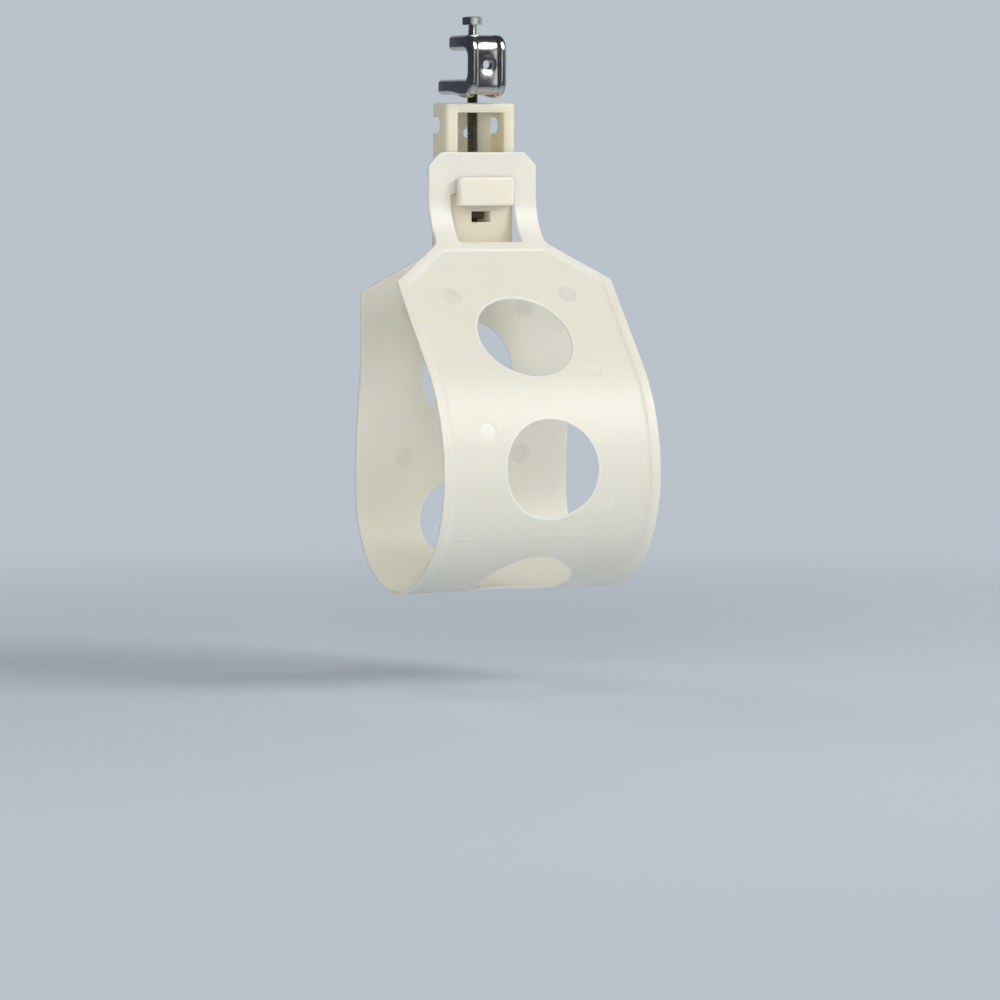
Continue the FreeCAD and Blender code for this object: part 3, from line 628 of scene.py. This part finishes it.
STRAP_PALE = (0.855, 0.834, 0.778, 1)
STRAP_DEEP = (0.825, 0.80, 0.734, 1)
STRAP_GLOW = 0.003
PANEL_TONE = (0.79, 0.766, 0.688, 1)
# Painted highlight on the rims of the holes, where their walls catch the light.
RIM_PAINTED_LIGHT = (0.93, 0.915, 0.875, 1)
PIN_GREY = (0.62, 0.62, 0.605, 1)
PIN_PALE = (0.89, 0.87, 0.82, 1)
PIN_MARKS = [(-27.5, 71.6), (27.5, 71.6), (26.2, 112.5), (-29.6, 141.8), (26.4, 174.3), (-27.5, 222.0),
             (27.5, 222.0), (-28.0, 322.0), (28.0, 322.0), (-27.5, 388.0), (27.5, 388.0)]
PIN_RADIUS = 5.2
PIN_RIM = 4.3
LINE_AT = 188.3
DULL_FROM = 58
LOWER_FROM = 85
LOWER_TO = 250
LOWER_FADE = 25


def nearest(spot, places):
    """Distance from a spot on the flat pattern to the nearest of some places."""
    least = None
    for across_at, along_at in places:
        away = spot.node("ShaderNodeVectorMath", {"operation": "DISTANCE"},
                         {0: spot, 1: (across_at, along_at, 0)}, out="Value")
        least = away if least is None else spot.maths("MINIMUM", least, away)
    return least


def milky_plastic(name, colour, deep, glow_depth, pins=(), painted_light_front=None):
    """Natural plastic: milky and slightly see-through, with slow clouds of haze from the melt and a fine
    matt grain. On the strap the thinner panel is a little duller than its border, most of all below the
    neck; the rims of the holes are painted paler, a painted highlight where their walls catch the light;
    the ejector pins have left thin, smudged discs with soft rims, and one faint line runs across. In front
    of a given depth the plastic takes the paler colour: painted light for the catch, which stands forward
    in the light, and partly its thicker plastic."""
    material, shader, place = new_finish(name, Subsurface_Weight=0.85, Subsurface_Scale=glow_depth,
                                         Subsurface_Radius=(1.0, 0.86, 0.66), IOR=1.5)
    cloud = (place.noise(38, 3, 0.55) * 2.2 - 0.6).clamped()
    grain = place.noise(3200, 2, 0.6)
    height = 0.10 * grain + 0.5 * place.noise(90, 2)
    rough = 0.36 + 0.14 * place.noise(420, 3)
    tone = cloud.blend(deep, colour)
    if painted_light_front:
        # Painted light: plastic in front of the given depth takes the paler colour of the lit catch.
        depth = place.node("ShaderNodeSeparateXYZ", None, {0: place}, out="Y")
        tone = ((painted_light_front[0] - depth) / 0.0006).clamped().blend(tone, painted_light_front[1])
    if pins:
        spot = place.node("ShaderNodeAttribute", {"attribute_name": "flat_pattern"}, out="Vector")
        panel = place.node("ShaderNodeAttribute", {"attribute_name": "panel"}, out="Fac")
        along = spot.node("ShaderNodeSeparateXYZ", None, {0: spot}, out="Y")
        smudge = (place.noise(240, 2) * 2.0 - 0.5).clamped()
        reach = nearest(spot, pins) + 0.5 * smudge
        # Painted highlight: the rims of the holes are painted paler where their walls catch the light.
        hole_rim_light = (1 - (nearest(spot, [(0, at) for at in HOLE_AT]) - HOLE_RADIUS) / 1.3).clamped()
        dull = spot.maths("MAXIMUM", panel, 0.7 * ((along - DULL_FROM) / 8).clamped())
        lower = ((along - LOWER_FROM) / LOWER_FADE).clamped() * ((LOWER_TO - along) / LOWER_FADE).clamped()
        disc = ((PIN_RADIUS - reach) / 1.3).clamped()
        rim = (1 - spot.maths("ABSOLUTE", reach - PIN_RIM) / 0.8).clamped()
        line = (1 - spot.maths("ABSOLUTE", along - LINE_AT) / 0.7).clamped() * panel
        tone = (0.8 * dull).blend(tone, PANEL_TONE)
        tone = (0.7 * hole_rim_light).blend(tone, RIM_PAINTED_LIGHT)
        tone = (disc * (1 - lower) * (0.14 + 0.56 * smudge)).blend(tone, PIN_GREY)
        tone = (0.24 * disc * lower * (1 - rim) + 0.35 * line).blend(tone, PIN_PALE)
        tone = (0.25 * rim * lower * smudge).blend(tone, PIN_GREY)
        height = height - 0.5 * disc - 0.25 * rim + 0.5 * line
        rough = rough - 0.08 * disc
    connect(shader, Base_Color=tone, Roughness=rough, Normal=height.bump(0.00016))
    return material


shade(strap, milky_plastic("strap_plastic", STRAP_PALE, STRAP_DEEP, STRAP_GLOW, PIN_MARKS), 40)
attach(strap, "loop")
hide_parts("moulded_strap_loop")

# Head and catch: the thick block that the strap's rear end runs up into, in the same moulding.
# Its upper part is an open-fronted box round the rod, its lower part has a slot for the nut, and the catch
# stands out in front; the solid's own shape is right, so it is taken from there and its edges are rounded.
HEAD_LOW = HEAD_TOP - 63.02
HEAD_EDGE = 0.4
HEAD_PALE = (0.85, 0.79, 0.645, 1)
HEAD_DEEP = (0.82, 0.755, 0.60, 1)
HEAD_GLOW = 0.008
CATCH_BACK = -0.0110
# Painted light: the catch in front of CATCH_BACK is painted paler for the light it catches standing forward
# of the head, and partly for its thicker plastic.
CATCH_PAINTED_LIGHT = (0.912, 0.842, 0.722, 1)
work = bmesh.new()
work.from_mesh(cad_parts["moulded_strap_loop"].data)
bmesh.ops.remove_doubles(work, verts=work.verts, dist=2e-6)
everything = list(work.verts) + list(work.edges) + list(work.faces)
cut = bmesh.ops.bisect_plane(work, geom=everything, plane_co=(0, 0, HEAD_LOW * MM), plane_no=(0, 0, 1),
                             clear_inner=True)
bmesh.ops.holes_fill(work, edges=[part for part in cut["geom_cut"] if isinstance(part, bmesh.types.BMEdge)])
work.verts.index_update()
ends = np.array([[end.index for end in edge.verts] for edge in work.edges])
group = np.arange(len(work.verts))
while True:
    lowest = np.minimum(group[ends[:, 0]], group[ends[:, 1]])
    joined = group.copy()
    np.minimum.at(joined, ends[:, 0], lowest)
    np.minimum.at(joined, ends[:, 1], lowest)
    if (joined == group).all():
        break
    group = joined
work.verts.ensure_lookup_table()
roof = max(work.verts, key=lambda vert: vert.co.z).index
loose = [work.verts[number] for number in np.flatnonzero(group != group[roof])]
bmesh.ops.delete(work, geom=loose, context="VERTS")
bmesh.ops.dissolve_limit(work, angle_limit=math.radians(0.6), verts=work.verts, edges=work.edges)
head_mesh = bpy.data.meshes.new("moulded_head")
work.to_mesh(head_mesh)
work.free()
head = bpy.data.objects.new("moulded_head", head_mesh)
bpy.context.scene.collection.objects.link(head)
head_edges = head.modifiers.new("edge_round", "BEVEL")
head_edges.width = HEAD_EDGE * MM
head_edges.segments = 3
head_edges.limit_method = "ANGLE"
head_edges.angle_limit = math.radians(40)
head_edges.harden_normals = True
shade(head, milky_plastic("head_plastic", HEAD_PALE, HEAD_DEEP, HEAD_GLOW,
                          painted_light_front=(CATCH_BACK, CATCH_PAINTED_LIGHT)), 40)
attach(head, "loop")
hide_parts("moulded_strap_loop")

# Floor: a wide disc of pale paint below the hanger, not part of it.
# It takes the hanger's shadow and melts into the backdrop further out.
FLOOR_Z = -262.0
FLOOR_RINGS = (0, 400, 1200, 2600)
FADE_FROM = 0.30
FADE_TO = 0.85
FLOOR_PAINT = (0.66, 0.74, 0.84, 1)
BACKDROP = (0.49, 0.54, 0.60, 1)
DIM_ROOM = (0.05, 0.052, 0.075, 1)
CAMERA_AZIMUTH = math.radians(-25.0)
floor_points, floor_faces = turned([(radius, FLOOR_Z) for radius in FLOOR_RINGS], 96)
floor = new_piece("floor", floor_points, floor_faces)
floor_paint = bpy.data.materials.new("floor_paint")
floor_paint.use_nodes = True
tree = floor_paint.node_tree
tree.nodes.clear()


def seen_rays(tree):
    """One for rays that show the background: the camera's, reflections and those through clear things."""
    path = [Wire(tree).node("ShaderNodeLightPath", out=name)
            for name in ("Is Camera Ray", "Is Glossy Ray", "Is Transmission Ray")]
    return (path[0] + path[1] + path[2]).clamped()


def surroundings(place, start, stop):
    """Colour of the far surroundings: the camera sees the backdrop everywhere, and a reflection sees it on
    the far side only, past a start and a stop along the camera's first gaze, with a dim room before it."""
    past = place.node("ShaderNodeVectorMath", {"operation": "DOT_PRODUCT"},
                      {0: place, 1: (-math.sin(CAMERA_AZIMUTH), math.cos(CAMERA_AZIMUTH), 0)}, out="Value")
    far_side = place.node("ShaderNodeMapRange", {"interpolation_type": "SMOOTHSTEP"},
                          {"Value": past, "From Min": start, "From Max": stop})
    camera_ray = place.node("ShaderNodeLightPath", out="Is Camera Ray")
    return (far_side + camera_ray).clamped().blend(DIM_ROOM, BACKDROP)


lit = Wire(tree).node("ShaderNodeBsdfDiffuse", None, {"Color": FLOOR_PAINT})
spot = Wire(tree).node("ShaderNodeTexCoord", out="Object")
glow = spot.node("ShaderNodeEmission", None, {"Color": surroundings(spot, -0.2, 0.4)})
reach = spot.node("ShaderNodeVectorMath", {"operation": "LENGTH"}, {0: spot}, out="Value")
fade = spot.node("ShaderNodeMapRange", {"interpolation_type": "SMOOTHSTEP"},
                 {"Value": reach, "From Min": FADE_FROM, "From Max": FADE_TO})
mixed = spot.node("ShaderNodeMixShader", None, {0: fade * seen_rays(tree), 1: lit, 2: glow})
ending = tree.nodes.new("ShaderNodeOutputMaterial")
tree.links.new(mixed.socket, ending.inputs["Surface"])
floor.data.materials.append(floor_paint)

# Studio: a soft key light from the right, a broad warm fill beside the camera, soft lights overhead and
# behind, dimmer panels that metal mirrors, and a dim room with a pale backdrop behind the hanger.
# The camera stands where the photograph was taken.
ROOM_LIGHT = (1.0, 0.97, 0.91, 1)
ROOM_STRENGTH = 0.22
scene = bpy.context.scene
world = bpy.data.worlds.new("studio_room")
scene.world = world
world.use_nodes = True
tree = world.node_tree
tree.nodes.clear()
gaze = Wire(tree).node("ShaderNodeTexCoord", out="Generated")
room = gaze.node("ShaderNodeBackground", None, {"Color": ROOM_LIGHT, "Strength": ROOM_STRENGTH})
far_wall = surroundings(gaze, 0.68, 0.88)
backdrop = gaze.node("ShaderNodeBackground", None, {"Color": far_wall, "Strength": 1.0})
both = gaze.node("ShaderNodeMixShader", None, {0: seen_rays(tree), 1: room, 2: backdrop})
ending = tree.nodes.new("ShaderNodeOutputWorld")
tree.links.new(both.socket, ending.inputs["Surface"])
AIM = Vector((0, -0.02, -0.11))
for name, place, size, power, colour in (
        ("key", (1.20, -1.25, 0.85), (0.9, 0.9), 19.8, (1.0, 0.99, 0.97)),
        ("fill", (-1.05, -1.50, 0.15), (1.1, 1.1), 13.6, (1.0, 0.96, 0.89)),
        ("fill_sheen", (-1.05, -1.50, 0.15), (1.1, 1.1), 2.2, (1.0, 0.98, 0.95)),
        ("top", (0.1, 0.1, 2.1), (1.4, 1.4), 5.0, (0.97, 0.985, 1.0)),
        ("sheen", (0.78, -1.35, 1.06), (0.85, 1.2), 26.0, (1.0, 0.985, 0.96)),
        ("card", (0.31, -1.47, 0.0), (0.12, 0.5), 0.35, (1.0, 1.0, 1.0)),
        ("strip", (1.75, -0.45, 0.0), (0.35, 1.3), 2.6, (0.94, 0.97, 1.0)),
        ("back", (-0.5, 1.5, 0.9), (0.9, 0.9), 3.5, (1.0, 1.0, 1.0))):
    lamp_data = bpy.data.lights.new(name, "AREA")
    lamp_data.shape = "RECTANGLE"
    lamp_data.size, lamp_data.size_y = size
    lamp_data.energy = power
    lamp_data.color = colour
    lamp = bpy.data.objects.new(name, lamp_data)
    lamp.location = place
    lamp.rotation_euler = (AIM - lamp.location).to_track_quat("-Z", "Y").to_euler()
    lamp.visible_glossy = name not in ("key", "fill", "top", "back")
    lamp.visible_diffuse = name not in ("sheen", "fill_sheen")
    scene.collection.objects.link(lamp)
CAMERA_PITCH = math.radians(4.0)
IMAGE_PX = 1000
SENSOR = 36
FOCAL_PX = 5100.0
CAMERA_AWAY = 2.23
HEAD_PIXEL = (472.4, 103.0)
ahead = Vector((-math.sin(CAMERA_AZIMUTH) * math.cos(CAMERA_PITCH),
                math.cos(CAMERA_AZIMUTH) * math.cos(CAMERA_PITCH), -math.sin(CAMERA_PITCH)))
right = Vector((math.cos(CAMERA_AZIMUTH), math.sin(CAMERA_AZIMUTH), 0))
up = right.cross(ahead)
ray = (ahead + (HEAD_PIXEL[0] - IMAGE_PX / 2) / FOCAL_PX * right
       - (HEAD_PIXEL[1] - IMAGE_PX / 2) / FOCAL_PX * up)
stand = Vector((0, 0, HEAD_TOP * MM)) - CAMERA_AWAY * ray
camera_data = bpy.data.cameras.new("camera")
camera_data.sensor_width = SENSOR
camera_data.lens = SENSOR * FOCAL_PX / IMAGE_PX
camera_data.clip_end = 30
camera = bpy.data.objects.new("camera", camera_data)
camera.matrix_world = Matrix((right, up, -ahead)).transposed().to_4x4()
camera.location = stand
scene.collection.objects.link(camera)
scene.camera = camera
scene.view_settings.view_transform = "Standard"
scene.cycles.use_denoising = True
